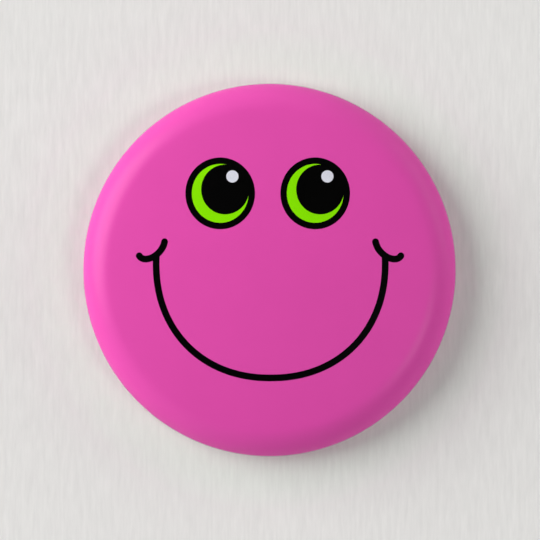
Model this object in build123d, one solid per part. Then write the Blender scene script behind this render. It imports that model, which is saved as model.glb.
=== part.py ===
"""Round pin-back button badge: film and printed paper over a domed shell, crimped on a pinned back.

The badge is drawn lying face up, with its back rim on the XY plane, the top of the face towards +Y
and the Z axis through its middle. It is then stood upright as it is worn: the face looks along -Y,
the back rim lies on the plane Y = 0 and the top of the face points along +Z.
"""

from build123d import *
from math import atan2, cos, degrees, pi, radians, sin, sqrt
import os

# ---- driving dimensions, mm ----

BADGE_R = 28.6
BADGE_DEPTH = 9.0
CROWN_R = 160.0
EDGE_R = 5.0
CURL_R = 1.4
CURL_BOTTOM_Z = 0.25
WRAP_END_DEG = 215.0
SHELL_END_DEG = 188.0

FILM_T = 0.075
INK_T = 0.03
PAPER_T = 0.12
SHEET_T = 0.30

PANEL_R = 21.2
PANEL_Z = 3.2
RING_IN_R = 22.2
RING_OUT_R = 25.7
LIP_Z = 3.0
LIP_R = 26.7

WIRE_R = 0.4
ARM_Y = 4.0
ARM_Z = 1.55
ROOT_X = -14.5
TAPER_X = 15.5
TIP_X = 19.0
TIP_R = 0.05
KNUCKLE_GAP = 0.05

LEG_Y = 7.6
LEG_END_X = -3.4
LEG_BEND_R = 0.8
LEG_TAIL = 0.9
TAIL_SLOT_L = 2.0
TAIL_SLOT_W = 1.1
WIRE_GAP = 0.03

HOOK_X = 13.3
HOOK_W = 3.0
HOOK_IN_R = 1.05
HOOK_BEND_R = 0.35
HOOK_ROOT_L = 1.2
HOOK_END_DEG = -102.0
STRAP_XS = (-12.2, -7.0)
STRAP_W = 2.2
STRAP_IN_R = 0.46

# ---- the printed face, mm from its middle, right and up ----

EYE_XS = {"left": -7.58, "right": 7.03}
EYE_Y = 11.79
EYE_RX = 5.33
EYE_RY = 5.49
IRIS_RX = 4.42
IRIS_RY = 4.58
PUPIL_OFFSET = (0.75, 0.56)
PUPIL_R = 3.70
GLINT_OFFSET = (1.90, 2.60)
GLINT_R = 1.0
SMILE_CENTRE = (0.18, 1.02)
SMILE_R = 17.62
SMILE_SQUARENESS = 2.145
SMILE_TOP_DEG = 4.0
SMILE_STEPS = 24
STROKE_W = 0.955
CREASE_CONTROLS = ((-20.03, 2.19), (-19.29, 0.94), (-16.57, 2.15), (-16.13, 4.35))
CREASE_MIRROR_X = 0.085

# ---- sizes worked out from the driving ones ----

PAPER_IN = FILM_T + INK_T
SHELL_IN = PAPER_IN + PAPER_T
CAVITY_IN = SHELL_IN + SHEET_T
EDGE_CENTRE_R = BADGE_R - EDGE_R
CROWN_CENTRE_Z = BADGE_DEPTH - CROWN_R
EDGE_CENTRE_Z = CROWN_CENTRE_Z + sqrt((CROWN_R - EDGE_R) ** 2 - EDGE_CENTRE_R**2)
EDGE_JOIN_DEG = degrees(atan2(EDGE_CENTRE_Z - CROWN_CENTRE_Z, EDGE_CENTRE_R))
CURL_CENTRE = (BADGE_R - CURL_R, CURL_BOTTOM_Z + CURL_R)
LEG_Z = PANEL_Z - WIRE_R - WIRE_GAP
CUT_DEPTH = 2.0
STAND_UP = Rotation(90, 0, 0)


def polar(centre, radius, degrees):
    """A point at this radius and angle from a centre."""
    angle = radians(degrees)
    return (centre[0] + radius * cos(angle), centre[1] + radius * sin(angle))


def skin_line(inset, end_deg):
    """Half of the badge's outline, from the middle of the crown round to the end of the curl."""
    crown_centre = (0, CROWN_CENTRE_Z)
    crown_r = CROWN_R - inset
    crown = ThreePointArc(
        (0, CROWN_CENTRE_Z + crown_r),
        polar(crown_centre, crown_r, (90 + EDGE_JOIN_DEG) / 2),
        polar(crown_centre, crown_r, EDGE_JOIN_DEG),
    )
    edge = ThreePointArc(
        crown @ 1,
        polar((EDGE_CENTRE_R, EDGE_CENTRE_Z), EDGE_R - inset, EDGE_JOIN_DEG / 2),
        (BADGE_R - inset, EDGE_CENTRE_Z),
    )
    wall = Line(edge @ 1, (BADGE_R - inset, CURL_CENTRE[1]))
    curl = ThreePointArc(
        wall @ 1,
        polar(CURL_CENTRE, CURL_R - inset, -end_deg / 2),
        polar(CURL_CENTRE, CURL_R - inset, -end_deg),
    )
    return [crown, edge, wall, curl]


def turned(section):
    """A solid of revolution about Z from a section drawn as (radius, height)."""
    return revolve(Plane.XZ * section, Axis.Z, 360)


def skin_layer(outer_inset, inner_inset, end_deg):
    """One layer of the badge's skin, between two insets from the outside."""
    outer = skin_line(outer_inset, end_deg)
    inner = skin_line(inner_inset, end_deg)
    middle = Line(outer[0] @ 0, inner[0] @ 0)
    end = Line(outer[-1] @ 1, inner[-1] @ 1)
    return turned(make_face([*outer, end, *inner, middle]))


def round_bar(path, radius):
    """Wire of this radius along a path."""
    start = path ^ 0
    return sweep(start * Circle(radius), path=path)


# ---- the printed face ----


def ink(outline):
    """A flat outline laid as ink on the crown of the paper."""
    prism = extrude(outline, 2 * BADGE_DEPTH)
    centre = Pos(0, 0, CROWN_CENTRE_Z)
    above = centre * Sphere(CROWN_R - FILM_T)
    below = centre * Sphere(CROWN_R - PAPER_IN)
    return (prism & above) - below


def eye_outlines(eye_x):
    """The black, green and pale parts of one eye, as flat outlines that fit into each other."""
    ball = Pos(eye_x, EYE_Y) * Ellipse(EYE_RX, EYE_RY)
    iris = Pos(eye_x, EYE_Y) * Ellipse(IRIS_RX, IRIS_RY)
    pupil = Pos(eye_x + PUPIL_OFFSET[0], EYE_Y + PUPIL_OFFSET[1]) * Circle(PUPIL_R)
    glint = Pos(eye_x + GLINT_OFFSET[0], EYE_Y + GLINT_OFFSET[1]) * Circle(GLINT_R)
    crescent = iris - pupil
    return {"black": ball - crescent - glint, "green": crescent, "glint": glint}


def smile_edge(offset):
    """One edge of the smile: the lower half of a slightly squared circle."""
    reach = SMILE_R + offset
    points = []
    for step in range(SMILE_STEPS + 1):
        degrees_on = 180 - SMILE_TOP_DEG + (180 + 2 * SMILE_TOP_DEG) * step / SMILE_STEPS
        along, across = polar((0, 0), 1, degrees_on)
        scale = abs(along) ** SMILE_SQUARENESS + abs(across) ** SMILE_SQUARENESS
        points.append(polar(SMILE_CENTRE, reach / scale ** (1 / SMILE_SQUARENESS), degrees_on))
    return Spline(*points)


def crease(mirrored):
    """One cheek crease, a short bowed stroke with round ends."""
    points = CREASE_CONTROLS
    if mirrored:
        points = [(2 * CREASE_MIRROR_X - x, y) for x, y in points]
    line = Bezier(*points)
    stroke = trace(line, STROKE_W)
    for end in (points[0], points[-1]):
        stroke += Pos(*end) * Circle(STROKE_W / 2)
    return stroke


def smile_outline():
    outer = smile_edge(STROKE_W / 2)
    inner = smile_edge(-STROKE_W / 2)
    ends = [Line(outer @ 0, inner @ 0), Line(outer @ 1, inner @ 1)]
    return make_face([outer, inner, *ends]) + crease(False) + crease(True)


# ---- the back ----


def sheet_section(path):
    """Sheet metal along an open line, with its thickness on the left of it."""
    return make_face(offset(path, amount=SHEET_T, side=Side.LEFT))


def plate_body():
    """The turned part of the back: panel, ring that stands proud of it, and lip over the curl."""
    path = FilletPolyline(
        (0, PANEL_Z),
        (PANEL_R, PANEL_Z),
        (RING_IN_R, 0),
        (RING_OUT_R, 0),
        (RING_OUT_R, LIP_Z),
        (LIP_R, LIP_Z),
        radius=[0.5, 0.8, 0.9, 0.4],
    )
    return turned(sheet_section(path))


def catch_hook():
    """The hook that holds the arm down, and the window in the panel that its sheet came from."""
    arm = (ARM_Y, ARM_Z)
    mid_r = HOOK_IN_R + SHEET_T / 2
    stem_y = ARM_Y + mid_r
    panel_mid = PANEL_Z + SHEET_T / 2
    root = FilletPolyline(
        (stem_y - HOOK_ROOT_L, panel_mid),
        (stem_y, panel_mid),
        (stem_y, ARM_Z),
        radius=HOOK_BEND_R + SHEET_T / 2,
    )
    wrap = ThreePointArc(
        (stem_y, ARM_Z),
        polar(arm, mid_r, HOOK_END_DEG / 2),
        polar(arm, mid_r, HOOK_END_DEG),
    )
    section = trace(root + wrap, SHEET_T)
    hook = extrude(Plane.YZ.offset(HOOK_X - HOOK_W / 2) * section, HOOK_W)
    blank = wrap.length + root.length - HOOK_ROOT_L
    window = Pos(HOOK_X, stem_y + (SHEET_T + blank) / 2, panel_mid) * Box(HOOK_W, blank, CUT_DEPTH)
    return hook, window


def wire_strap(x):
    """A strap pressed out of the panel round the wire's leg, and the slot that it leaves."""
    mid_r = STRAP_IN_R + SHEET_T / 2
    panel_mid = PANEL_Z + SHEET_T / 2
    left = (LEG_Y - mid_r, LEG_Z)
    right = (LEG_Y + mid_r, LEG_Z)
    bow = ThreePointArc(left, (LEG_Y, LEG_Z - mid_r), right)
    legs = [Line(left, (left[0], panel_mid)), Line(right, (right[0], panel_mid))]
    section = trace(bow, SHEET_T) + trace(legs[0], SHEET_T) + trace(legs[1], SHEET_T)
    strap = extrude(Plane.YZ.offset(x - STRAP_W / 2) * section, STRAP_W)
    slot = Pos(x, LEG_Y, panel_mid) * Box(STRAP_W, 2 * STRAP_IN_R, CUT_DEPTH)
    return strap, slot


def back_plate():
    plate = plate_body()
    hook, window = catch_hook()
    plate = plate - window + hook
    for x in STRAP_XS:
        strap, slot = wire_strap(x)
        plate = plate - slot + strap
    tail_slot = SlotOverall(TAIL_SLOT_L, TAIL_SLOT_W)
    panel_mid = PANEL_Z + SHEET_T / 2
    place = Pos(LEG_END_X - TAIL_SLOT_L / 4, LEG_Y, panel_mid - CUT_DEPTH / 2)
    return plate - place * extrude(tail_slot, CUT_DEPTH)


# ---- the pin ----


def fixed_wire():
    """The wire's U bend, the leg under the straps and the tail bent into the panel."""
    start = Vector(ROOT_X - WIRE_R - KNUCKLE_GAP, ARM_Y, ARM_Z)
    across = Vector(0, LEG_Y - ARM_Y, LEG_Z - ARM_Z)
    bend_r = across.length / 2
    bend = ThreePointArc(start, start + across / 2 - Vector(bend_r, 0, 0), start + across)
    corner = Vector(LEG_END_X, LEG_Y, LEG_Z)
    leg = Line(start + across, corner - Vector(LEG_BEND_R, 0, 0))
    turn = ThreePointArc(
        leg @ 1,
        corner + Vector(LEG_BEND_R * (sin(pi / 4) - 1), 0, LEG_BEND_R * (1 - cos(pi / 4))),
        corner + Vector(0, 0, LEG_BEND_R),
    )
    tail = Line(turn @ 1, (turn @ 1) + Vector(0, 0, LEG_TAIL))
    return round_bar(Wire([bend, leg, turn, tail]), WIRE_R)


def pin_arm():
    """The arm, from its ball at the root to its sharpened tip."""
    shaft = Pos(ROOT_X, ARM_Y, ARM_Z) * Rotation(0, 90, 0) * Cylinder(
        WIRE_R, TAPER_X - ROOT_X, align=(Align.CENTER, Align.CENTER, Align.MIN)
    )
    taper = Pos(TAPER_X, ARM_Y, ARM_Z) * Rotation(0, 90, 0) * Cone(
        WIRE_R, TIP_R, TIP_X - TAPER_X, align=(Align.CENTER, Align.CENTER, Align.MIN)
    )
    ball = Pos(ROOT_X, ARM_Y, ARM_Z) * Sphere(WIRE_R)
    return shaft + taper + ball


# ---- every piece by name ----


def pieces():
    found = {
        "face_film": skin_layer(0, FILM_T, WRAP_END_DEG),
        "printed_disc": skin_layer(PAPER_IN, SHELL_IN, WRAP_END_DEG),
        "front_shell": skin_layer(SHELL_IN, CAVITY_IN, SHELL_END_DEG),
        "back_plate": back_plate(),
        "pin_wire_anchor": fixed_wire(),
        "pin_arm": pin_arm(),
        "smile_print": ink(smile_outline()),
    }
    for side, eye_x in EYE_XS.items():
        for colour, outline in eye_outlines(eye_x).items():
            found[f"{side}_eye_{colour}_print"] = ink(outline)
    return found


os.makedirs("parts", exist_ok=True)
for name, piece in pieces().items():
    export_step(STAND_UP * piece, f"parts/{name}.step")
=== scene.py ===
"""The looks of a round pin-back button badge, built round its fixed CAD frame.

The badge is drawn lying face up: Z runs through its middle towards the face and Y towards the top of
the printed face. Each finished mesh is then stood upright, as the badge is worn, so that the face
looks along -Y and the back rim lies on the plane Y = 0.
"""

from math import asin, atan2, cos, hypot, pi, radians, sin, sqrt, tan

import bmesh
import bpy
from bpy.props import FloatProperty, FloatVectorProperty, IntProperty, PointerProperty
from mathutils import Matrix, Vector
from mathutils.geometry import interpolate_bezier


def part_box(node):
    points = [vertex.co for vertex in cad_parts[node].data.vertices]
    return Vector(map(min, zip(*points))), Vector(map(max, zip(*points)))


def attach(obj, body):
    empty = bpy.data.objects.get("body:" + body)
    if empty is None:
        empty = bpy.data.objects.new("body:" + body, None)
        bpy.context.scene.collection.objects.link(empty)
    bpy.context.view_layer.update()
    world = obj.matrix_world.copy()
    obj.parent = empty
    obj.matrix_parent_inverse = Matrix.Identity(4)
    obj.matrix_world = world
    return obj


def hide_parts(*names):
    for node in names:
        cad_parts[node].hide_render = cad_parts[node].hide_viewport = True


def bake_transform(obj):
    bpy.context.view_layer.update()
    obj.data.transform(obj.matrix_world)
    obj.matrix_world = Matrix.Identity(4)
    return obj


bl_info = {
    "name": "Button Badge",
    "version": (1, 0, 0),
    "blender": (4, 5, 0),
    "location": "View3D > Sidebar > Badge",
    "description": "Builds a pin-back button badge with a printed smiling face",
    "category": "Object",
}

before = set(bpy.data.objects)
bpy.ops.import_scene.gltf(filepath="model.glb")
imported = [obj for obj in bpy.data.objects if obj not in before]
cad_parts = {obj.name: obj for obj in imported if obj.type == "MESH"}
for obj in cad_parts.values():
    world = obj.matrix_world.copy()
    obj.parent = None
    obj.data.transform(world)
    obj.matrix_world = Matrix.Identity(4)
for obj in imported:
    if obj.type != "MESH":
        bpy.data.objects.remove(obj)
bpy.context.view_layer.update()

MM = 0.001
FILM_LOW, FILM_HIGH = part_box("face_film")
TINY = 1e-8
STAND_UP = Matrix.Rotation(pi / 2, 4, "X")
SKIN_STEPS, PLATE_STEPS = 256, 192


# ---- sizes and colours that a user would change ----


def length(name, description, default, **more):
    return FloatProperty(
        name=name, description=description, default=default, min=0, precision=5, unit="LENGTH", **more
    )


def colour(name, description, default):
    return FloatVectorProperty(
        name=name, description=description, default=default, size=3, min=0, max=1, subtype="COLOR"
    )


class BadgeSizes(bpy.types.PropertyGroup):
    radius: length("Radius", "Outside radius of the badge, over the film", FILM_HIGH.x)
    depth: length("Depth", "From the back rim to the top of the crown", -FILM_LOW.y)
    crown_radius: length("Crown radius", "Radius of the domed face", 160 * MM)
    edge_radius: length("Edge radius", "Radius of the rolled edge", 5 * MM)
    curl_radius: length("Curl radius", "Radius of the curl that closes on the back", 1.4 * MM)
    curl_bottom: length("Curl set-back", "How far the curl stays behind the back rim", -FILM_HIGH.y)
    film: length("Film thickness", "Thickness of the clear film", 0.075 * MM)
    ink: length("Ink room", "Room for the ink between the film and the paper", 0.03 * MM)
    paper: length("Paper thickness", "Thickness of the printed paper", 0.12 * MM)
    sheet: length("Sheet thickness", "Thickness of the shell and the back plate", 0.30 * MM)
    pleats: IntProperty(name="Pleats", description="Pleats round the back curl", default=74, min=0)
    pleat_height: length("Pleat height", "How far a pleat stands off the curl", 0.17 * MM)
    stroke: length("Stroke", "Width of the smile's line", 1.03 * MM)


class BadgeColours(bpy.types.PropertyGroup):
    ground: colour("Ground", "Printed ground of the face", (0.77, 0.080, 0.418))
    black: colour("Black", "Black ink", (0.0007, 0.0007, 0.0007))
    green: colour("Green", "Green ink of the eyes", (0.25, 0.80, 0.001))
    glint: colour("Glint", "Pale ink of the eyes' glints", (0.70, 0.71, 0.78))
    steel: colour("Steel", "Tinned steel of the shell and back", (0.70, 0.69, 0.67))
    nickel: colour("Nickel", "Nickel plating of the pin", (0.78, 0.75, 0.70))
    wall: colour("Wall", "Pale wall behind the badge", (0.80, 0.79, 0.765))


# ---- mesh helpers ----


def vertices_of(found):
    return [v for v in found if isinstance(v, bmesh.types.BMVert)]


def edges_of(found):
    return [e for e in found if isinstance(e, bmesh.types.BMEdge)]


def line_on(bm, vert, *places):
    """Draws straight edges on from a vertex, and returns the last vertex."""
    for place in places:
        new = bm.verts.new(place)
        bm.edges.new((vert, new))
        vert = new
    return vert


def arc_on(bm, vert, centre, angle, steps):
    """Carries a vertex round a centre in the XZ plane, and returns the arc's last vertex."""
    done = bmesh.ops.spin(
        bm, geom=[vert], cent=centre, axis=(0, 1, 0), angle=angle, steps=steps, use_duplicate=False
    )
    return vertices_of(done["geom_last"])[0]


def round_corner(bm, vert, radius, segments=6):
    """Rounds the corner that two edges make at a vertex."""
    ends = [edge.other_vert(vert).co - vert.co for edge in vert.link_edges]
    bmesh.ops.bevel(
        bm,
        geom=[vert],
        offset=radius / tan(ends[0].angle(ends[1]) / 2),
        segments=segments,
        profile=0.5,
        affect="VERTICES",
        material=-1,
    )


def turn(bm, steps):
    """Turns everything drawn so far about Z into a surface of revolution."""
    bmesh.ops.spin(
        bm,
        geom=bm.verts[:] + bm.edges[:],
        cent=(0, 0, 0),
        axis=(0, 0, 1),
        angle=2 * pi,
        steps=steps,
        use_merge=True,
        use_duplicate=False,
    )
    bmesh.ops.remove_doubles(bm, verts=bm.verts, dist=TINY)
    bmesh.ops.dissolve_degenerate(bm, dist=TINY, edges=bm.edges)


def add_piece(bm, name, material, sharp_deg=60):
    """Stands the drawn mesh upright and puts it in the scene as an object at the origin."""
    bmesh.ops.transform(bm, matrix=STAND_UP, verts=bm.verts)
    mesh = bpy.data.meshes.new(name)
    bm.to_mesh(mesh)
    bm.free()
    mesh.shade_smooth()
    mesh.set_sharp_from_angle(angle=radians(sharp_deg))
    mesh.materials.append(material)
    piece = bpy.data.objects.new(name, mesh)
    bpy.context.scene.collection.objects.link(piece)
    return piece


def settle(piece, body, slot, *nodes):
    """A piece rides on its body and stands for its CAD nodes, which are hidden. The slot is not used."""
    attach(piece, body)
    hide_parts(*nodes)


# ---- the badge's skin ----

CROWN_STEPS, EDGE_STEPS, CURL_STEPS = 14, 18, 22
PAPER_END_DEG, FILM_END_DEG = 213, 215
PLEAT_FROM, PLEAT_TO = radians(30), radians(230)
PLEAT_RISE_FROM, PLEAT_RISE = radians(38), radians(72)
PLEAT_FALL_TO, PLEAT_FALL = radians(184), radians(52)
PLEAT_ROOM = 1.3


class Skin:
    """The badge's outline as arcs in the XZ plane, from which every layer is offset."""

    def __init__(self, sizes):
        self.sizes = sizes
        self.edge_x = sizes.radius - sizes.edge_radius
        self.crown_z = sizes.depth - sizes.crown_radius
        reach = sizes.crown_radius - sizes.edge_radius
        self.slope = asin(self.edge_x / reach)
        self.edge_z = self.crown_z + sqrt(reach**2 - self.edge_x**2)
        self.curl_x = sizes.radius - sizes.curl_radius
        self.curl_z = sizes.curl_bottom + sizes.curl_radius

    def draw(self, bm, inset, curl_deg):
        """Draws half of the outline at this inset, and returns its first and last vertices."""
        sizes = self.sizes
        first = bm.verts.new((0, 0, sizes.depth - inset))
        last = arc_on(bm, first, (0, 0, self.crown_z), self.slope, CROWN_STEPS)
        last = arc_on(bm, last, (self.edge_x, 0, self.edge_z), pi / 2 - self.slope, EDGE_STEPS)
        last = line_on(bm, last, (sizes.radius - inset, 0, self.curl_z))
        last = arc_on(bm, last, (self.curl_x, 0, self.curl_z), radians(curl_deg), CURL_STEPS)
        return first, last

    def layer(self, outer, inner, curl_deg):
        """One layer of the skin as a closed solid of revolution."""
        bm = bmesh.new()
        outside = self.draw(bm, outer, curl_deg)
        inside = self.draw(bm, inner, curl_deg)
        bm.edges.new((outside[1], inside[1]))
        turn(bm, SKIN_STEPS)
        bmesh.ops.recalc_face_normals(bm, faces=bm.faces)
        return bm

    def curl_angle(self, place):
        """How far round the curl a place lies, and how far from the curl's centre line."""
        across, up = hypot(place.x, place.y) - self.curl_x, place.z - self.curl_z
        return -atan2(up, across) % (2 * pi), hypot(across, up)

    def crown_height(self, x, y, inset):
        return self.crown_z + sqrt((self.sizes.crown_radius - inset) ** 2 - x * x - y * y)


def pleat_shape(turn_angle, count):
    """How far a pleat stands at this angle round the badge, 0 to 1: uneven narrow ridges."""
    drift = 1.3 * sin(3 * turn_angle + 1.1) + 0.9 * sin(7 * turn_angle + 2.3) + 0.5 * sin(13 * turn_angle)
    ridge = max(0.0, cos(count * turn_angle / 2 + drift)) ** 5
    ridge += 0.7 * max(0.0, cos(count * turn_angle / 2 + pi + 1.7 * drift)) ** 9
    return ridge * (0.62 + 0.38 * sin(11 * turn_angle + 0.8) * cos(5 * turn_angle))


def pleat_reach(curl_angle):
    """How strongly the skin pleats at this angle round the curl, 0 to 1."""
    rise = min(1.0, max(0.0, (curl_angle - PLEAT_RISE_FROM) / PLEAT_RISE))
    fall = min(1.0, max(0.0, (PLEAT_FALL_TO - curl_angle) / PLEAT_FALL))
    return rise * rise * (3 - 2 * rise) * (0.28 + 0.72 * fall)


def pleat(bm, skin, sizes):
    """Gathers the skin into small pleats where it is drawn round the back curl."""
    room = PLEAT_ROOM * sizes.curl_radius
    hoops = []
    for edge in bm.edges:
        a, b = (skin.curl_angle(v.co) for v in edge.verts)
        level = abs(edge.verts[0].co.z - edge.verts[1].co.z) < TINY
        if level and min(a[0], b[0]) > PLEAT_FROM and max(a[1], b[1]) < room:
            hoops.append(edge)
    bmesh.ops.subdivide_edges(bm, edges=hoops, cuts=2, use_grid_fill=True)
    for vert in bm.verts:
        curl_angle, reach = skin.curl_angle(vert.co)
        if reach > room or not PLEAT_FROM < curl_angle < PLEAT_TO:
            continue
        strength = pleat_shape(atan2(vert.co.y, vert.co.x), sizes.pleats) * pleat_reach(curl_angle)
        grow = 1 + sizes.pleat_height * strength / reach
        radius = hypot(vert.co.x, vert.co.y)
        wider = 1 + (radius - skin.curl_x) * (grow - 1) / radius
        vert.co.x *= wider
        vert.co.y *= wider
        vert.co.z = skin.curl_z + (vert.co.z - skin.curl_z) * grow


# ---- the printed face: places in millimetres from its middle, right and up ----

EYE_PLACES = {"left": (-7.52, 11.69), "right": (6.97, 11.69)}
EYE_RADII = (5.31, 5.48)
IRIS_RADII = (4.33, 4.49)
PUPIL_PLACE, PUPIL_RADII = (0.76, 0.59), (3.66, 3.80)
GLINT_PLACE, GLINT_RADIUS = (1.86, 2.58), 0.93
SMILE_PLACE, SMILE_RADIUS = (0.18, 1.01), 17.47
SMILE_SQUARENESS = 2.145
SMILE_TOP_DEG = 4.0
CREASE_CONTROLS = ((-19.87, 2.17), (-19.13, 0.93), (-16.43, 2.13), (-16.00, 4.31))
CREASE_MIRROR_X = 0.085
INK_COAT = 0.0085 * MM
INK_STEP = 0.0065 * MM
CREASE_LIFT = 0.001 * MM
DISC_RINGS, DISC_STEPS = 8, 96
SMILE_BANDS, SMILE_STEPS = 4, 180
CREASE_GRID, CREASE_POINTS = (72, 6), 65


def flat_disc(bm, place, radii):
    """A flat disc of rings, squeezed to these two radii. Returns its faces."""
    before = set(bm.faces)
    centre = Vector((*place, 0)) * MM
    hub = bm.verts.new(centre)
    spoke = [hub]
    for ring in range(1, DISC_RINGS + 1):
        spoke.append(line_on(bm, spoke[-1], centre + Vector((radii[0] * MM * ring / DISC_RINGS, 0, 0))))
    edges = [bm.edges.get(pair) for pair in zip(spoke, spoke[1:])]
    bmesh.ops.spin(
        bm, geom=spoke + edges, cent=centre, axis=(0, 0, 1), angle=2 * pi, steps=DISC_STEPS,
        use_merge=True, use_duplicate=False,
    )
    faces = [f for f in bm.faces if f not in before]
    bmesh.ops.remove_doubles(bm, verts=list({v for f in faces for v in f.verts}), dist=TINY)
    faces = [f for f in bm.faces if f not in before]
    squeeze = Matrix.Diagonal((1, radii[1] / radii[0], 1, 1))
    verts = list({v for f in faces for v in f.verts})
    bmesh.ops.transform(bm, matrix=squeeze, space=Matrix.Translation(-centre), verts=verts)
    return faces


def lay_ink(bm, faces, skin, level, coat=INK_COAT):
    """Lays flat faces on the crown of the paper as a coat of ink that starts at this level."""
    sizes = skin.sizes
    inset = sizes.film + sizes.ink - level - coat
    for vert in {v for f in faces for v in f.verts}:
        vert.co.z = skin.crown_height(vert.co.x, vert.co.y, inset)
    bmesh.ops.recalc_face_normals(bm, faces=faces)
    if faces[0].normal.z < 0:
        bmesh.ops.reverse_faces(bm, faces=faces)
    done = bmesh.ops.extrude_face_region(bm, geom=faces, use_keep_orig=True)
    bmesh.ops.translate(bm, vec=(0, 0, -coat), verts=vertices_of(done["geom"]))


def smile_line(bm, stroke):
    """The smile: a band turned about its centre, then slightly squared."""
    before = set(bm.faces)
    centre = Vector((SMILE_PLACE[0] * MM, SMILE_PLACE[1] * MM, 0))
    inner = SMILE_RADIUS * MM - stroke / 2
    start = Matrix.Rotation(radians(180 - SMILE_TOP_DEG), 3, "Z")
    bands = range(SMILE_BANDS + 1)
    places = [centre + start @ Vector((inner + stroke * band / SMILE_BANDS, 0, 0)) for band in bands]
    first = bm.verts.new(places[0])
    line_on(bm, first, *places[1:])
    bmesh.ops.spin(
        bm, geom=bm.verts[:] + bm.edges[:], cent=centre, axis=(0, 0, 1),
        angle=radians(180 + 2 * SMILE_TOP_DEG), steps=SMILE_STEPS, use_duplicate=False,
    )
    faces = [f for f in bm.faces if f not in before]
    for vert in {v for f in faces for v in f.verts}:
        arm = vert.co - centre
        along, across = arm.normalized().to_2d(), arm.length - SMILE_RADIUS * MM
        scale = abs(along.x) ** SMILE_SQUARENESS + abs(along.y) ** SMILE_SQUARENESS
        reach = SMILE_RADIUS * MM / scale ** (1 / SMILE_SQUARENESS) + across
        vert.co = centre + (along * reach).to_3d()
    return faces


def cheek_crease(bm, stroke, mirrored):
    """A short bowed stroke with round ends: a grid bent along a curve."""
    before = set(bm.faces)
    sign = -1 if mirrored else 1
    shift = 2 * CREASE_MIRROR_X if mirrored else 0
    controls = [Vector((sign * x + shift, y, 0)) * MM for x, y in CREASE_CONTROLS]
    path = interpolate_bezier(*controls, CREASE_POINTS)
    lengths = [0.0]
    for a, b in zip(path, path[1:]):
        lengths.append(lengths[-1] + (b - a).length)
    total = lengths[-1] + stroke
    made = bmesh.ops.create_grid(bm, x_segments=CREASE_GRID[0], y_segments=CREASE_GRID[1], size=1.0)
    for vert in made["verts"]:
        place = (1 - cos((vert.co.x + 1) / 2 * pi)) / 2 * total - stroke / 2
        side = vert.co.y
        past = max(0.0, -place, place - lengths[-1])
        half = sqrt(max(0.0, (stroke / 2) ** 2 - past**2))
        inside = min(max(place, 0.0), lengths[-1])
        index = min(next(i for i, run in enumerate(lengths) if run >= inside), len(path) - 1)
        index = max(index, 1)
        heading = (path[index] - path[index - 1]).normalized()
        on = path[index - 1] + heading * (place - lengths[index - 1])
        vert.co = on + Vector((-heading.y, heading.x, 0)) * side * half
    bmesh.ops.remove_doubles(bm, verts=made["verts"], dist=TINY)
    return [f for f in bm.faces if f not in before]


# ---- the back plate: places in millimetres ----

PANEL_R, PANEL_Z = 21.2, 3.2
PANEL_FLAT_R = 20.5
RING_IN_R, RING_OUT_R = 22.2, 25.7
LIP_Z, LIP_R = 3.0, 26.7
PLATE_BENDS = (0.5, 0.8, 0.9, 0.4)
CORNER_R, SLOT_R = 0.25, 0.5
SHEARED_R = 0.035
ARM_Y, ARM_Z = 4.0, 1.55
LEG_Y, LEG_Z = 7.6, 2.77
HOOK_X, HOOK_W, HOOK_BLANK = 13.3, 3.0, 4.37
HOOK_ROOT_Y, HOOK_BEND_R = 4.7, 0.35
HOOK_WRAP_DEG, HOOK_TIP_DEG = 70, 32
HOOK_TIP_STEPS, HOOK_TIP_TAPER = 10, 0.42
STRAP_XS, STRAP_W = (-12.2, -7.0), 2.2
STRAP_OUT_R, STRAP_BEND_R = 0.76, 0.25
TAIL_SLOT = (-4.9, -2.9, 7.05, 8.15)


def draw_window(bm, low_x, high_x, low_y, high_y, rounded, radius):
    """Draws a window's outline on the panel. Its first edge, the lowest one, is returned."""
    places = ((low_x, low_y), (high_x, low_y), (high_x, high_y), (low_x, high_y))
    verts = [bm.verts.new((x * MM, y * MM, PANEL_Z * MM)) for x, y in places]
    edges = [bm.edges.new(pair) for pair in zip(verts, verts[1:] + verts[:1])]
    for index in rounded:
        round_corner(bm, verts[index], radius * MM, 5)
    return edges[0]


def bend_sheet(bm, edge, y, z, turned_deg, steps):
    """Carries the sheet's free edge round a bend whose line runs along X through (y, z)."""
    done = bmesh.ops.spin(
        bm, geom=[edge, *edge.verts], cent=(0, y * MM, z * MM), axis=(1, 0, 0),
        angle=radians(turned_deg), steps=steps, use_duplicate=False,
    )
    return edges_of(done["geom_last"])[0]


def run_sheet(bm, edge, rise):
    """Carries the sheet's free edge straight on along Z."""
    done = bmesh.ops.extrude_edge_only(bm, edges=[edge])
    bmesh.ops.translate(bm, vec=(0, 0, rise * MM), verts=vertices_of(done["geom"]))
    return edges_of(done["geom"])[0]


def raise_strap(bm, edge):
    """Arches a lanced strap over the wire's leg, from one side of its window to the other."""
    side = STRAP_OUT_R + STRAP_BEND_R
    bend_z = PANEL_Z - STRAP_BEND_R
    edge = bend_sheet(bm, edge, LEG_Y - side, bend_z, -90, 5)
    edge = run_sheet(bm, edge, LEG_Z - bend_z)
    edge = bend_sheet(bm, edge, LEG_Y, LEG_Z, 180, 18)
    edge = run_sheet(bm, edge, bend_z - LEG_Z)
    bend_sheet(bm, edge, LEG_Y + side, bend_z, -90, 5)


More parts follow.
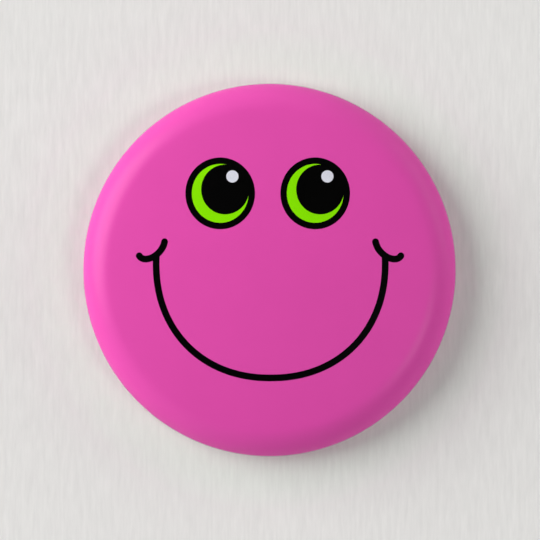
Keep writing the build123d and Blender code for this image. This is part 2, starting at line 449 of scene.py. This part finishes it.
def curl_hook(bm, edge):
    """Folds the catch hook up out of its window and curls it round the arm's resting place."""
    bend_z = PANEL_Z - HOOK_BEND_R
    edge = bend_sheet(bm, edge, HOOK_ROOT_Y, bend_z, -90, 6)
    edge = run_sheet(bm, edge, ARM_Z - bend_z)
    edge = bend_sheet(bm, edge, ARM_Y, ARM_Z, -HOOK_WRAP_DEG, 14)
    steps = HOOK_TIP_STEPS
    middle = Matrix.Translation((-HOOK_X * MM, 0, 0))
    widths = [1 - HOOK_TIP_TAPER * (1 - sqrt(1 - (step / steps) ** 2)) for step in range(steps + 1)]
    for before, after in zip(widths, widths[1:]):
        edge = bend_sheet(bm, edge, ARM_Y, ARM_Z, -HOOK_TIP_DEG / steps, 1)
        bmesh.ops.scale(bm, vec=(after / before, 1, 1), space=middle, verts=list(edge.verts))


def press_plate(sheet):
    """The whole back as one sheet: dished panel, ring and lip, with its windows, straps and hook."""
    bm = bmesh.new()
    profile = (
        (PANEL_FLAT_R, PANEL_Z), (PANEL_R, PANEL_Z), (RING_IN_R, 0), (RING_OUT_R, 0),
        (RING_OUT_R, LIP_Z), (LIP_R, LIP_Z),
    )
    first = bm.verts.new((profile[0][0] * MM, 0, profile[0][1] * MM))
    line_on(bm, first, *[(x * MM, 0, z * MM) for x, z in profile[1:]])
    corners = [v for v in bm.verts if len(v.link_edges) == 2]
    for vert, radius in zip(corners, PLATE_BENDS):
        round_corner(bm, vert, radius * MM, 7)
    turn(bm, PLATE_STEPS)
    hook_low, hook_high = HOOK_X - HOOK_W / 2, HOOK_X + HOOK_W / 2
    hook_edge = draw_window(
        bm, hook_low, hook_high, HOOK_ROOT_Y, HOOK_ROOT_Y + HOOK_BLANK, (2, 3), CORNER_R
    )
    strap_side = STRAP_OUT_R + STRAP_BEND_R
    strap_edges = [
        draw_window(bm, x - STRAP_W / 2, x + STRAP_W / 2, LEG_Y - strap_side, LEG_Y + strap_side, (), 0)
        for x in STRAP_XS
    ]
    draw_window(bm, *TAIL_SLOT, (0, 1, 2, 3), SLOT_R)
    level = (PANEL_Z - 0.001) * MM
    flat = [e for e in bm.edges if len(e.link_faces) < 2 and min(v.co.z for v in e.verts) > level]
    bmesh.ops.triangle_fill(bm, use_beauty=True, use_dissolve=False, edges=flat)
    curl_hook(bm, hook_edge)
    for edge in strap_edges:
        raise_strap(bm, edge)
    bmesh.ops.remove_doubles(bm, verts=bm.verts, dist=100 * TINY)
    bmesh.ops.recalc_face_normals(bm, faces=bm.faces)
    panel = min(bm.faces, key=lambda face: face.calc_center_median().to_2d().length)
    if panel.normal.z > 0:
        bmesh.ops.reverse_faces(bm, faces=bm.faces)
    bmesh.ops.solidify(bm, geom=bm.faces[:], thickness=sheet)
    sheared = [e for e in bm.edges if e.calc_face_angle(0) > radians(70)]
    bmesh.ops.bevel(
        bm, geom=sheared, offset=SHEARED_R * MM, segments=2, profile=0.5, affect="EDGES", material=-1,
        clamp_overlap=True,
    )
    return bm


# ---- the pin: places in millimetres ----

WIRE_R = 0.4
WIRE_SIDES = 28
LEG_END_X, LEG_BEND_R, TAIL = -3.4, 0.8, 0.9
BEND_X, ARM_END_X, TIP_X = -14.95, 15.5, 19.0
TIP_RINGS, TIP_POWER, TIP_LEAST = 18, 1.35, 0.06


class Drawing:
    """A wire drawn ring by ring. Each vertex keeps its place along and round the straight wire."""

    def __init__(self, centre, sides):
        self.bm = bmesh.new()
        self.layer = self.bm.verts.layers.float_vector.new("wire_place")
        made = bmesh.ops.create_circle(
            self.bm, cap_ends=False, segments=sides, radius=WIRE_R * MM, matrix=Matrix.Translation(centre)
        )
        for vert in made["verts"]:
            vert[self.layer] = (0, vert.co.x - centre.x, vert.co.y - centre.y)
        self.ring = self.bm.verts[:] + self.bm.edges[:]
        bmesh.ops.contextual_create(self.bm, geom=edges_of(self.ring))

    def _keep(self, found, travel):
        self.ring = vertices_of(found) + edges_of(found)
        for vert in vertices_of(found):
            vert[self.layer].x += travel

    def straight(self, step, rings=1):
        for _ in range(rings):
            done = bmesh.ops.extrude_edge_only(self.bm, edges=edges_of(self.ring))
            bmesh.ops.translate(self.bm, vec=step / rings, verts=vertices_of(done["geom"]))
            self._keep(done["geom"], step.length / rings)

    def bend(self, centre, axis, angle, steps):
        middle = sum((v.co for v in vertices_of(self.ring)), Vector()) / len(vertices_of(self.ring))
        travel = (middle - centre).length * abs(angle) / steps
        for _ in range(steps):
            done = bmesh.ops.spin(
                self.bm, geom=self.ring, cent=centre, axis=axis, angle=angle / steps, steps=1,
                use_duplicate=False,
            )
            self._keep(done["geom_last"], travel)

    def narrow(self, middle, share):
        verts = vertices_of(self.ring)
        bmesh.ops.scale(self.bm, vec=(share,) * 3, space=Matrix.Translation(-middle), verts=verts)


def draw_wire():
    """The wire from its tail in the cavity, along the leg and round the bend to the sharp tip."""
    leg = Vector((LEG_END_X, LEG_Y, LEG_Z)) * MM
    tail = leg + Vector((0, 0, (LEG_BEND_R + TAIL) * MM))
    wire = Drawing(tail, WIRE_SIDES)
    wire.straight(Vector((0, 0, -TAIL * MM)), 2)
    wire.bend(leg + Vector((-LEG_BEND_R, 0, LEG_BEND_R)) * MM, (0, 1, 0), pi / 2, 10)
    wire.straight(Vector((BEND_X + LEG_BEND_R - LEG_END_X, 0, 0)) * MM, 8)
    across = Vector((0, ARM_Y - LEG_Y, ARM_Z - LEG_Z)) * MM
    start = Vector((BEND_X, LEG_Y, LEG_Z)) * MM
    axis = across.cross(Vector((-1, 0, 0))).normalized()
    wire.bend(start + across / 2, -axis, pi, 40)
    wire.straight(Vector(((ARM_END_X - BEND_X) * MM, 0, 0)), 24)
    size = 1.0
    for ring in range(1, TIP_RINGS + 1):
        wire.straight(Vector(((TIP_X - ARM_END_X) / TIP_RINGS * MM, 0, 0)))
        new_size = max(TIP_LEAST, 1 - (ring / TIP_RINGS) ** TIP_POWER)
        middle = Vector((ARM_END_X + (TIP_X - ARM_END_X) * ring / TIP_RINGS, ARM_Y, ARM_Z)) * MM
        wire.narrow(middle, new_size / size)
        size = new_size
    bmesh.ops.contextual_create(wire.bm, geom=edges_of(wire.ring))
    bmesh.ops.recalc_face_normals(wire.bm, faces=wire.bm.faces)
    return wire.bm


# ---- materials ----


def new_material(name):
    material = bpy.data.materials.new(name)
    material.use_nodes = True
    nodes, links = material.node_tree.nodes, material.node_tree.links
    nodes.clear()
    output = nodes.new("ShaderNodeOutputMaterial")
    return material, nodes, links, output


def principled(nodes, links, output, **values):
    shader = nodes.new("ShaderNodeBsdfPrincipled")
    for key, value in values.items():
        shader.inputs[key.replace("_", " ")].default_value = value
    links.new(shader.outputs["BSDF"], output.inputs["Surface"])
    return shader


def stretched(nodes, links, scale, turned=(0, 0, 0)):
    """Object coordinates, stretched by these factors, ready for a pattern."""
    place = nodes.new("ShaderNodeTexCoord")
    mapping = nodes.new("ShaderNodeMapping")
    mapping.inputs["Scale"].default_value = scale
    mapping.inputs["Rotation"].default_value = turned
    links.new(place.outputs["Object"], mapping.inputs["Vector"])
    return mapping.outputs["Vector"]


def noise(nodes, links, vector, scale, detail=4.0, roughness=0.55):
    texture = nodes.new("ShaderNodeTexNoise")
    texture.inputs["Scale"].default_value = scale
    texture.inputs["Detail"].default_value = detail
    texture.inputs["Roughness"].default_value = roughness
    links.new(vector, texture.inputs["Vector"])
    return texture.outputs["Fac"]


def span(nodes, links, value, low, high, from_low=0.3, from_high=0.7):
    """Maps a value's middle range onto low to high."""
    ranger = nodes.new("ShaderNodeMapRange")
    ranger.inputs["From Min"].default_value = from_low
    ranger.inputs["From Max"].default_value = from_high
    ranger.inputs["To Min"].default_value = low
    ranger.inputs["To Max"].default_value = high
    links.new(value, ranger.inputs["Value"])
    return ranger.outputs["Result"]


def blended(nodes, links, factor, first, second, mode="MIX"):
    mix = nodes.new("ShaderNodeMix")
    mix.data_type = "RGBA"
    mix.blend_type = mode
    for socket, value in (("Factor", factor), ("A", first), ("B", second)):
        target = next(s for s in mix.inputs if s.name == socket and s.enabled)
        if isinstance(value, bpy.types.NodeSocket):
            links.new(value, target)
        else:
            target.default_value = value
    return next(s for s in mix.outputs if s.enabled)


def bump(nodes, links, height, strength, distance, normal=None):
    bumper = nodes.new("ShaderNodeBump")
    bumper.inputs["Strength"].default_value = strength
    bumper.inputs["Distance"].default_value = distance
    links.new(height, bumper.inputs["Height"])
    if normal:
        links.new(normal, bumper.inputs["Normal"])
    return bumper.outputs["Normal"]


def rgba(colour_value, scale=1.0):
    return (*[min(1.0, c * scale) for c in colour_value], 1.0)


FILM_SHEEN = 0.3
# Painted tint on the wall between these two distances from the badge's middle: it cancels the pink light
# bounced onto the wall from the badge.
BOUNCE_TINT_FROM, BOUNCE_TINT_TO = 0.0286, 0.037
PAINTED_BOUNCE_COUNTER_TINT = (0.97, 1.12, 1.02, 1)


def film_material():
    """Clear polyester: it lets the print through, and its outer side mirrors the room by Fresnel."""
    material, nodes, links, output = new_material("clear film")
    plain = stretched(nodes, links, (1, 1, 1))
    normal = bump(nodes, links, noise(nodes, links, plain, 260, 2.0), 0.25, 0.00006)
    fresnel = nodes.new("ShaderNodeFresnel")
    fresnel.inputs["IOR"].default_value = 1.5
    links.new(normal, fresnel.inputs["Normal"])
    side = nodes.new("ShaderNodeNewGeometry")
    outer = nodes.new("ShaderNodeMath")
    outer.operation = "MULTIPLY_ADD"
    outer.inputs[1].default_value = -FILM_SHEEN
    outer.inputs[2].default_value = FILM_SHEEN
    links.new(side.outputs["Backfacing"], outer.inputs[0])
    share = nodes.new("ShaderNodeMath")
    share.operation = "MULTIPLY"
    links.new(fresnel.outputs["Fac"], share.inputs[0])
    links.new(outer.outputs["Value"], share.inputs[1])
    clear = nodes.new("ShaderNodeBsdfTransparent")
    gloss = nodes.new("ShaderNodeBsdfAnisotropic")
    gloss.distribution = "BECKMANN"
    gloss.inputs["Roughness"].default_value = 0.32
    links.new(normal, gloss.inputs["Normal"])
    mix = nodes.new("ShaderNodeMixShader")
    links.new(share.outputs["Value"], mix.inputs["Fac"])
    links.new(clear.outputs["BSDF"], mix.inputs[1])
    links.new(gloss.outputs["BSDF"], mix.inputs[2])
    links.new(mix.outputs["Shader"], output.inputs["Surface"])
    return material


def print_material(name, ink):
    """Ink on smooth coated paper, with the faint mottle of a laser print."""
    material, nodes, links, output = new_material(name)
    shader = principled(nodes, links, output, Specular_IOR_Level=0.02)
    plain = stretched(nodes, links, (1, 1, 1))
    cloud = noise(nodes, links, plain, 120, 3.0)
    grain = noise(nodes, links, plain, 5200, 2.0)
    base = blended(nodes, links, span(nodes, links, cloud, 0.0, 1.0), rgba(ink, 0.985), rgba(ink, 1.015))
    mottled = blended(nodes, links, span(nodes, links, grain, 0.0, 0.25), base, rgba(ink, 0.93))
    links.new(mottled, shader.inputs["Base Color"])
    links.new(span(nodes, links, grain, 0.50, 0.62), shader.inputs["Roughness"])
    links.new(bump(nodes, links, grain, 0.2, 0.000004), shader.inputs["Normal"])
    return material


def steel_material(name, tint):
    """Tinned steel sheet: rolled grain along X, soft cloudy dulling, fine scuffs."""
    material, nodes, links, output = new_material(name)
    shader = principled(nodes, links, output, Metallic=1.0)
    rolled = noise(nodes, links, stretched(nodes, links, (1, 30, 30)), 130, 5.0, 0.65)
    cloud = noise(nodes, links, stretched(nodes, links, (1, 1, 1)), 95, 4.0)
    spots = noise(nodes, links, stretched(nodes, links, (1, 1, 1)), 900, 3.0, 0.6)
    scuff = noise(nodes, links, stretched(nodes, links, (2.2, 1, 40), (0, radians(32), 0)), 60, 3.0)
    dull = blended(nodes, links, span(nodes, links, cloud, 0.0, 1.0), rgba(tint, 0.86), rgba(tint, 1.04))
    lined = blended(nodes, links, span(nodes, links, rolled, 0.0, 0.35), dull, rgba(tint, 0.72))
    links.new(lined, shader.inputs["Base Color"])
    rough = nodes.new("ShaderNodeMath")
    rough.operation = "ADD"
    links.new(span(nodes, links, rolled, 0.20, 0.34), rough.inputs[0])
    links.new(span(nodes, links, spots, 0.0, 0.10), rough.inputs[1])
    links.new(rough.outputs["Value"], shader.inputs["Roughness"])
    normal = bump(nodes, links, rolled, 0.25, 0.000012)
    normal = bump(nodes, links, scuff, 0.12, 0.000008, normal)
    normal = bump(nodes, links, cloud, 0.2, 0.00008, normal)
    links.new(normal, shader.inputs["Normal"])
    return material


def wire_material(tint):
    """Nickel-plated spring wire: bright, with die lines along its length."""
    material, nodes, links, output = new_material("nickel plated wire")
    shader = principled(nodes, links, output, Metallic=1.0)
    place = nodes.new("ShaderNodeAttribute")
    place.attribute_name = "wire_place"
    drawn = noise(nodes, links, place.outputs["Vector"], 6.0, 4.0, 0.6)
    dull = blended(nodes, links, span(nodes, links, drawn, 0.0, 0.5), rgba(tint, 1.0), rgba(tint, 0.78))
    links.new(dull, shader.inputs["Base Color"])
    links.new(span(nodes, links, drawn, 0.14, 0.26), shader.inputs["Roughness"])
    links.new(bump(nodes, links, drawn, 0.15, 0.000006), shader.inputs["Normal"])
    return material


def wall_material(tint):
    """Pale wall covering with fine upright fibres, and a painted tint near the badge, less red and more
    green, that cancels the pink light bounced onto the wall from the badge.

    It can be seen through from behind.
    """
    material, nodes, links, output = new_material("pale wall")
    shader = principled(nodes, links, output, Roughness=0.9)
    fibre = noise(nodes, links, stretched(nodes, links, (1, 1, 0.13)), 1500, 4.0, 0.6)
    weave = noise(nodes, links, stretched(nodes, links, (1, 1, 0.3)), 420, 3.0, 0.6)
    cloud = noise(nodes, links, stretched(nodes, links, (1, 1, 1)), 30, 3.0)
    shade = blended(nodes, links, span(nodes, links, fibre, 0.0, 1.0), rgba(tint, 0.955), rgba(tint, 1.06))
    shade = blended(nodes, links, span(nodes, links, cloud, 0.0, 0.3), shade, rgba(tint, 0.98))
    place = nodes.new("ShaderNodeTexCoord")
    far = nodes.new("ShaderNodeVectorMath")
    far.operation = "LENGTH"
    links.new(place.outputs["Object"], far.inputs[0])
    # Painted tint near the badge, less red and more green, that cancels the pink bounce light there.
    near = span(nodes, links, far.outputs["Value"], 1.0, 0.0, BOUNCE_TINT_FROM, BOUNCE_TINT_TO)
    bounce_countered = blended(nodes, links, 1.0, shade, PAINTED_BOUNCE_COUNTER_TINT, "MULTIPLY")
    shade = blended(nodes, links, near, shade, bounce_countered)
    links.new(shade, shader.inputs["Base Color"])
    normal = bump(nodes, links, fibre, 0.4, 0.00003)
    normal = bump(nodes, links, weave, 0.12, 0.00008, normal)
    links.new(normal, shader.inputs["Normal"])
    side = nodes.new("ShaderNodeNewGeometry")
    clear = nodes.new("ShaderNodeBsdfTransparent")
    mix = nodes.new("ShaderNodeMixShader")
    links.new(side.outputs["Backfacing"], mix.inputs["Fac"])
    links.new(shader.outputs["BSDF"], mix.inputs[1])
    links.new(clear.outputs["BSDF"], mix.inputs[2])
    links.new(mix.outputs["Shader"], output.inputs["Surface"])
    return material


# ---- operators, one for each piece ----


class BADGE_OT_paper(bpy.types.Operator):
    """Printed paper disc, wrapped and pleated round the back curl"""

    bl_idname = "badge.paper"
    bl_label = "Printed Paper"

    def execute(self, context):
        sizes, colours = context.scene.badge_sizes, context.scene.badge_colours
        skin = Skin(sizes)
        outer = sizes.film + sizes.ink
        bm = skin.layer(outer, outer + sizes.paper, PAPER_END_DEG)
        pleat(bm, skin, sizes)
        paper = add_piece(bm, "printed_paper", print_material("pink print", colours.ground))
        settle(paper, "badge", "pink_paper", "printed_disc")
        return {"FINISHED"}


class BADGE_OT_film(bpy.types.Operator):
    """Clear film over the print, pleated with it"""

    bl_idname = "badge.film"
    bl_label = "Clear Film"

    def execute(self, context):
        sizes = context.scene.badge_sizes
        skin = Skin(sizes)
        bm = skin.layer(0, sizes.film, FILM_END_DEG)
        pleat(bm, skin, sizes)
        film = add_piece(bm, "clear_film", film_material())
        settle(film, "badge", "clear_film", "face_film")
        return {"FINISHED"}


class BADGE_OT_shell(bpy.types.Operator):
    """Drawn steel shell under the paper: its CAD piece, given its finish"""

    bl_idname = "badge.shell"
    bl_label = "Front Shell"

    def execute(self, context):
        shell = bpy.data.objects["front_shell"]
        shell.data.materials.clear()
        shell.data.materials.append(steel_material("shell tinplate", context.scene.badge_colours.steel))
        return {"FINISHED"}


class BADGE_OT_smile(bpy.types.Operator):
    """Smile and cheek creases in black ink"""

    bl_idname = "badge.smile"
    bl_label = "Smile"

    def execute(self, context):
        sizes, colours = context.scene.badge_sizes, context.scene.badge_colours
        skin = Skin(sizes)
        bm = bmesh.new()
        lay_ink(bm, smile_line(bm, sizes.stroke), skin, 0)
        for mirrored in (False, True):
            lay_ink(bm, cheek_crease(bm, sizes.stroke, mirrored), skin, 0, INK_COAT + CREASE_LIFT)
        bmesh.ops.recalc_face_normals(bm, faces=bm.faces)
        smile = add_piece(bm, "smile_ink", print_material("black ink", colours.black))
        settle(smile, "badge", "black_ink", "smile_print")
        return {"FINISHED"}


class BADGE_OT_eyes(bpy.types.Operator):
    """Both eyes: black ball and pupil, green crescent and pale glint"""

    bl_idname = "badge.eyes"
    bl_label = "Eyes"

    def execute(self, context):
        sizes, colours = context.scene.badge_sizes, context.scene.badge_colours
        skin = Skin(sizes)
        black = bpy.data.materials.get("black ink") or print_material("black ink", colours.black)
        green = print_material("green ink", colours.green)
        pale = print_material("pale ink", colours.glint)
        for side, (x, y) in EYE_PLACES.items():
            pupil = (x + PUPIL_PLACE[0], y + PUPIL_PLACE[1])
            glint = (x + GLINT_PLACE[0], y + GLINT_PLACE[1])
            iris_level, pupil_level, glint_level = (INK_COAT + step * INK_STEP for step in range(3))
            coats = {
                "black": (black, [((x, y), EYE_RADII, 0, INK_COAT),
                                  (pupil, PUPIL_RADII, pupil_level, INK_STEP)]),
                "green": (green, [((x, y), IRIS_RADII, iris_level, INK_STEP)]),
                "glint": (pale, [(glint, (GLINT_RADIUS,) * 2, glint_level, INK_STEP)]),
            }
            for name, (ink, discs) in coats.items():
                bm = bmesh.new()
                for place, radii, level, coat in discs:
                    lay_ink(bm, flat_disc(bm, place, radii), skin, level, coat)
                bmesh.ops.recalc_face_normals(bm, faces=bm.faces)
                piece = add_piece(bm, f"{side}_eye_{name}_ink", ink)
                slot = "pale_ink" if name == "glint" else f"{name}_ink"
                settle(piece, "badge", slot, f"{side}_eye_{name}_print")
        return {"FINISHED"}


class BADGE_OT_back(bpy.types.Operator):
    """Stamped back plate with its catch hook, wire straps and windows"""

    bl_idname = "badge.back"
    bl_label = "Back Plate"

    def execute(self, context):
        sizes, colours = context.scene.badge_sizes, context.scene.badge_colours
        bm = press_plate(sizes.sheet)
        plate = add_piece(bm, "steel_back", steel_material("back tinplate", colours.steel), 35)
        settle(plate, "badge", "back_steel", "back_plate")
        return {"FINISHED"}


class BADGE_OT_pin(bpy.types.Operator):
    """Spring-wire pin in one piece: tail, leg, U bend and sharpened arm"""

    bl_idname = "badge.pin"
    bl_label = "Pin"

    def execute(self, context):
        wire = add_piece(draw_wire(), "pin_wire", wire_material(context.scene.badge_colours.nickel), 40)
        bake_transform(wire)
        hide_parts("pin_wire_anchor", "pin_arm")
        return {"FINISHED"}


class BADGE_OT_stage(bpy.types.Operator):
    """Pale wall, soft lights and the camera"""

    bl_idname = "badge.stage"
    bl_label = "Stage"

    def execute(self, context):
        make_wall(context.scene.badge_colours.wall)
        make_lights()
        make_world()
        make_camera()
        return {"FINISHED"}


# ---- the stage ----

WALL_GAP = 0.00005
WALL_HOLE_R, WALL_R = 0.02695, 0.9
WALL_RINGS = (0.06, 0.2, WALL_R)
WALL_STEPS = 96


def make_wall(tint):
    """A wall just behind the badge, open where the badge hides it."""
    bm = bmesh.new()
    first = bm.verts.new((WALL_HOLE_R, 0, 0))
    line_on(bm, first, *[(radius, 0, 0) for radius in WALL_RINGS])
    bmesh.ops.spin(
        bm, geom=bm.verts[:] + bm.edges[:], cent=(0, 0, 0), axis=(0, 0, 1), angle=2 * pi,
        steps=WALL_STEPS, use_merge=True, use_duplicate=False,
    )
    bmesh.ops.recalc_face_normals(bm, faces=bm.faces)
    if bm.faces[:][0].normal.z < 0:
        bmesh.ops.reverse_faces(bm, faces=bm.faces)
    bmesh.ops.transform(bm, matrix=Matrix.Translation((0, WALL_GAP, 0)) @ STAND_UP, verts=bm.verts)
    mesh = bpy.data.meshes.new("pale_wall")
    bm.to_mesh(mesh)
    bm.free()
    mesh.materials.append(wall_material(tint))
    wall = bpy.data.objects.new("pale_wall", mesh)
    bpy.context.scene.collection.objects.link(wall)


# Each softbox: degrees off the badge's axis, degrees round it from the right, reach in degrees, strength.
FRONT_LIGHTS = {
    "key softbox": (63, 160, 26, 1.27),
    "right front fill": (38, -25, 9, 0.15),
    "right edge fill": (84, 25, 22, 0.27),
}
BACK_LIGHTS = {
    "back key": (48, 60, 16, 1.2),
    "back fill": (60, 190, 24, 0.5),
}
LIGHT_DISTANCE = 1.8
ROOM_STRENGTH = 1.18
ROOM_TINT = (0.50, 0.50, 0.51, 1)
BACKDROP = (0.78, 0.77, 0.75, 1)


def softbox(name, off_axis, round_axis, reach, strength, side):
    """A disc of light that faces the badge and isn't seen itself."""
    light = bpy.data.lights.new(name, "AREA")
    light.shape = "DISK"
    light.size = 2 * LIGHT_DISTANCE * tan(radians(reach))
    light.energy = strength * (2 * pi * LIGHT_DISTANCE) ** 2 / 4
    lamp = bpy.data.objects.new(name, light)
    off, around = radians(off_axis), radians(round_axis)
    heading = Vector((sin(off) * cos(around), side * cos(off), sin(off) * sin(around)))
    lamp.location = heading * LIGHT_DISTANCE
    lamp.rotation_euler = (-heading).to_track_quat("-Z", "Y").to_euler()
    lamp.visible_camera = False
    bpy.context.scene.collection.objects.link(lamp)


def make_lights():
    for name, values in FRONT_LIGHTS.items():
        softbox(name, *values, -1)
    for name, values in BACK_LIGHTS.items():
        softbox(name, *values, 1)


def make_world():
    """A room that is dark straight before the face, pale all round it, and shaded below at the back."""
    world = bpy.data.worlds.new("studio")
    world.use_nodes = True
    nodes, links = world.node_tree.nodes, world.node_tree.links
    nodes.clear()
    output = nodes.new("ShaderNodeOutputWorld")
    seen = nodes.new("ShaderNodeBackground")
    seen.inputs["Color"].default_value = BACKDROP
    room = nodes.new("ShaderNodeBackground")
    room.inputs["Strength"].default_value = ROOM_STRENGTH
    heading = nodes.new("ShaderNodeTexCoord")
    split = nodes.new("ShaderNodeSeparateXYZ")
    links.new(heading.outputs["Generated"], split.inputs["Vector"])
    before = span(nodes, links, split.outputs["Y"], 0.008, 1.0, -0.88, -0.56)
    behind = span(nodes, links, split.outputs["Y"], 0.0, 1.0, -0.1, 0.5)
    height = span(nodes, links, split.outputs["Z"], 0.12, 1.5, -0.7, 0.8)
    tone = blended(nodes, links, behind, (1, 1, 1, 1), height)
    shade = blended(nodes, links, 1.0, before, tone, "MULTIPLY")
    tint = blended(nodes, links, 1.0, shade, ROOM_TINT, "MULTIPLY")
    links.new(tint, room.inputs["Color"])
    ray = nodes.new("ShaderNodeLightPath")
    mix = nodes.new("ShaderNodeMixShader")
    links.new(ray.outputs["Is Camera Ray"], mix.inputs["Fac"])
    links.new(room.outputs["Background"], mix.inputs[1])
    links.new(seen.outputs["Background"], mix.inputs[2])
    links.new(mix.outputs["Shader"], output.inputs["Surface"])
    bpy.context.scene.world = world


ASIDE = 0.077 * MM
LENS, SENSOR = 600, 36
BADGE_SHARE = 0.6905


def make_camera():
    """Head-on, from far enough away that the badge is seen almost without perspective."""
    data = bpy.data.cameras.new("camera")
    data.lens, data.sensor_width = LENS, SENSOR
    camera = bpy.data.objects.new("camera", data)
    distance = 2 * FILM_HIGH.x / BADGE_SHARE * LENS / SENSOR
    camera.location = (ASIDE, -distance, 0)
    camera.rotation_euler = (pi / 2, 0, 0)
    data.clip_start, data.clip_end = 0.01, 20
    bpy.context.scene.collection.objects.link(camera)
    bpy.context.scene.camera = camera
    bpy.context.scene.view_settings.view_transform = "Standard"


# ---- the add-on ----

STEPS = (
    BADGE_OT_shell,
    BADGE_OT_paper,
    BADGE_OT_smile,
    BADGE_OT_eyes,
    BADGE_OT_film,
    BADGE_OT_back,
    BADGE_OT_pin,
    BADGE_OT_stage,
)


class BADGE_PT_panel(bpy.types.Panel):
    bl_label = "Button Badge"
    bl_idname = "BADGE_PT_panel"
    bl_space_type = "VIEW_3D"
    bl_region_type = "UI"
    bl_category = "Badge"

    def draw(self, context):
        for group in (context.scene.badge_sizes, context.scene.badge_colours):
            box = self.layout.box()
            for name in group.__annotations__:
                box.prop(group, name)
        for step in STEPS:
            self.layout.operator(step.bl_idname)


CLASSES = (BadgeSizes, BadgeColours, *STEPS, BADGE_PT_panel)


def register():
    for cls in CLASSES:
        bpy.utils.register_class(cls)
    bpy.types.Scene.badge_sizes = PointerProperty(type=BadgeSizes)
    bpy.types.Scene.badge_colours = PointerProperty(type=BadgeColours)


def unregister():
    del bpy.types.Scene.badge_sizes
    del bpy.types.Scene.badge_colours
    for cls in reversed(CLASSES):
        bpy.utils.unregister_class(cls)


def main():
    register()
    for step in STEPS:
        group, name = step.bl_idname.split(".")
        getattr(getattr(bpy.ops, group), name)()


if __name__ == "__main__":
    main()
